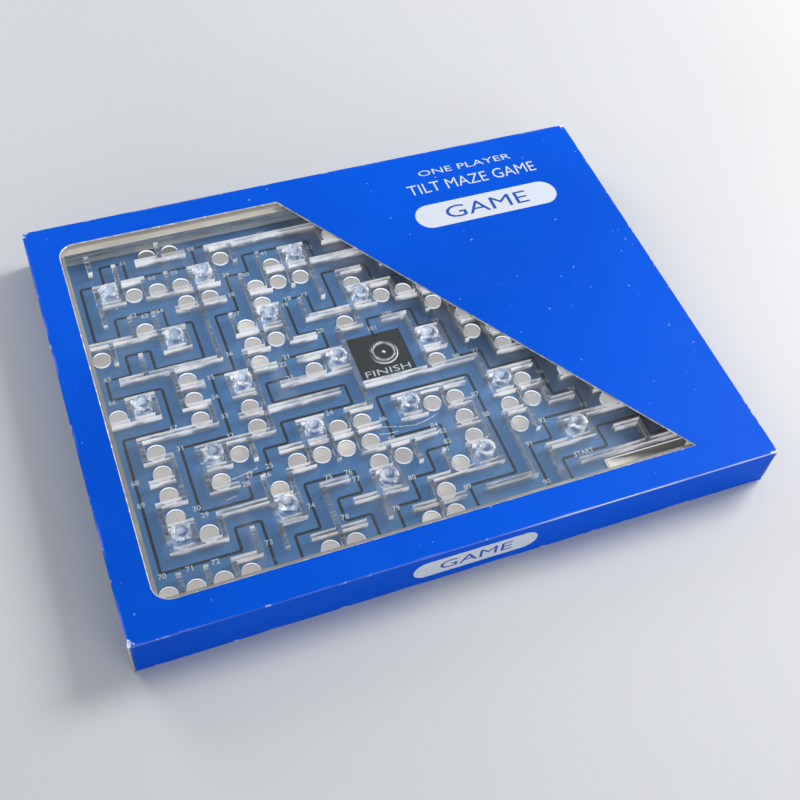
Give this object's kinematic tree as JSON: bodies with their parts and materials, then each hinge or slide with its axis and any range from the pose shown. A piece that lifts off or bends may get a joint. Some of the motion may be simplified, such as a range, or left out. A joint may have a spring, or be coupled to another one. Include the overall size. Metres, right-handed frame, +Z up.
{
  "type": "tilt maze game",
  "caption": "Flat handheld ball maze with clear walls, drop holes, posts and lid, in a shallow card box with a cut window and tuck flaps at both ends.",
  "frame": {"origin": "middle of the carton's underside", "axes": "+X to the player's right along the carton's long side, +Y away from the player, +Z up out of the window"},
  "size_m": [0.256, 0.198, 0.02],
  "materials": {
    "printed_card": "semi-gloss print on card",
    "plain_card": "uncoated card",
    "clear_plastic": "clear, glossy",
    "print": "satin print",
    "cream_plastic": "satin",
    "steel": "polished"
  },
  "bodies": {
    "boxed_maze": {"top_panel": "printed_card", "front_wall": "printed_card", "back_wall": "printed_card", "bottom_panel": "printed_card", "dust_flap_front_left": "printed_card", "dust_flap_front_right": "printed_card", "dust_flap_back_left": "printed_card", "dust_flap_back_right": "printed_card", "glue_flap": "plain_card", "clear_lid": "clear_plastic", "maze_floor": "clear_plastic", "maze_walls": "clear_plastic", "field_rim": "clear_plastic", "tubular_posts": "clear_plastic", "goal_ring": "clear_plastic", "printed_sheet": "print", "backing_tray": "cream_plastic", "return_ramp": "cream_plastic", "ramp_guide": "cream_plastic"},
    "left_flap": {"left_end_flap": "printed_card"},
    "left_tongue": {"left_tuck_tongue": "printed_card"},
    "right_flap": {"right_end_flap": "printed_card"},
    "right_tongue": {"right_tuck_tongue": "printed_card"},
    "ball": {"steel_ball": "steel"}
  },
  "joints": [
    {"name": "left_flap_fold", "type": "hinge", "parent": "boxed_maze", "child": "left_flap", "pos_m": [-0.128, 0, 0.02], "axis": [0, 1, 0], "range_deg": [0, 110]},
    {"name": "left_tongue_fold", "type": "hinge", "parent": "left_flap", "child": "left_tongue", "pos_m": [-0.1274, 0, 0.0022], "axis": [0, -1, 0], "range_deg": [0, 56]},
    {"name": "right_flap_fold", "type": "hinge", "parent": "boxed_maze", "child": "right_flap", "pos_m": [0.128, 0, 0.02], "axis": [0, -1, 0], "range_deg": [0, 110]},
    {"name": "right_tongue_fold", "type": "hinge", "parent": "right_flap", "child": "right_tongue", "pos_m": [0.1274, 0, 0.0022], "axis": [0, 1, 0], "range_deg": [0, 56]},
    {"name": "ball_return", "type": "slide", "parent": "boxed_maze", "child": "ball", "axis": [-0.981, 0, 0.1942], "range_m": [0, 0.0416]}
  ],
  "couplings": [
    {"joint": "left_tongue_fold", "follows": "left_flap_fold", "ratio": 0.5},
    {"joint": "right_tongue_fold", "follows": "right_flap_fold", "ratio": 0.5}
  ]
}
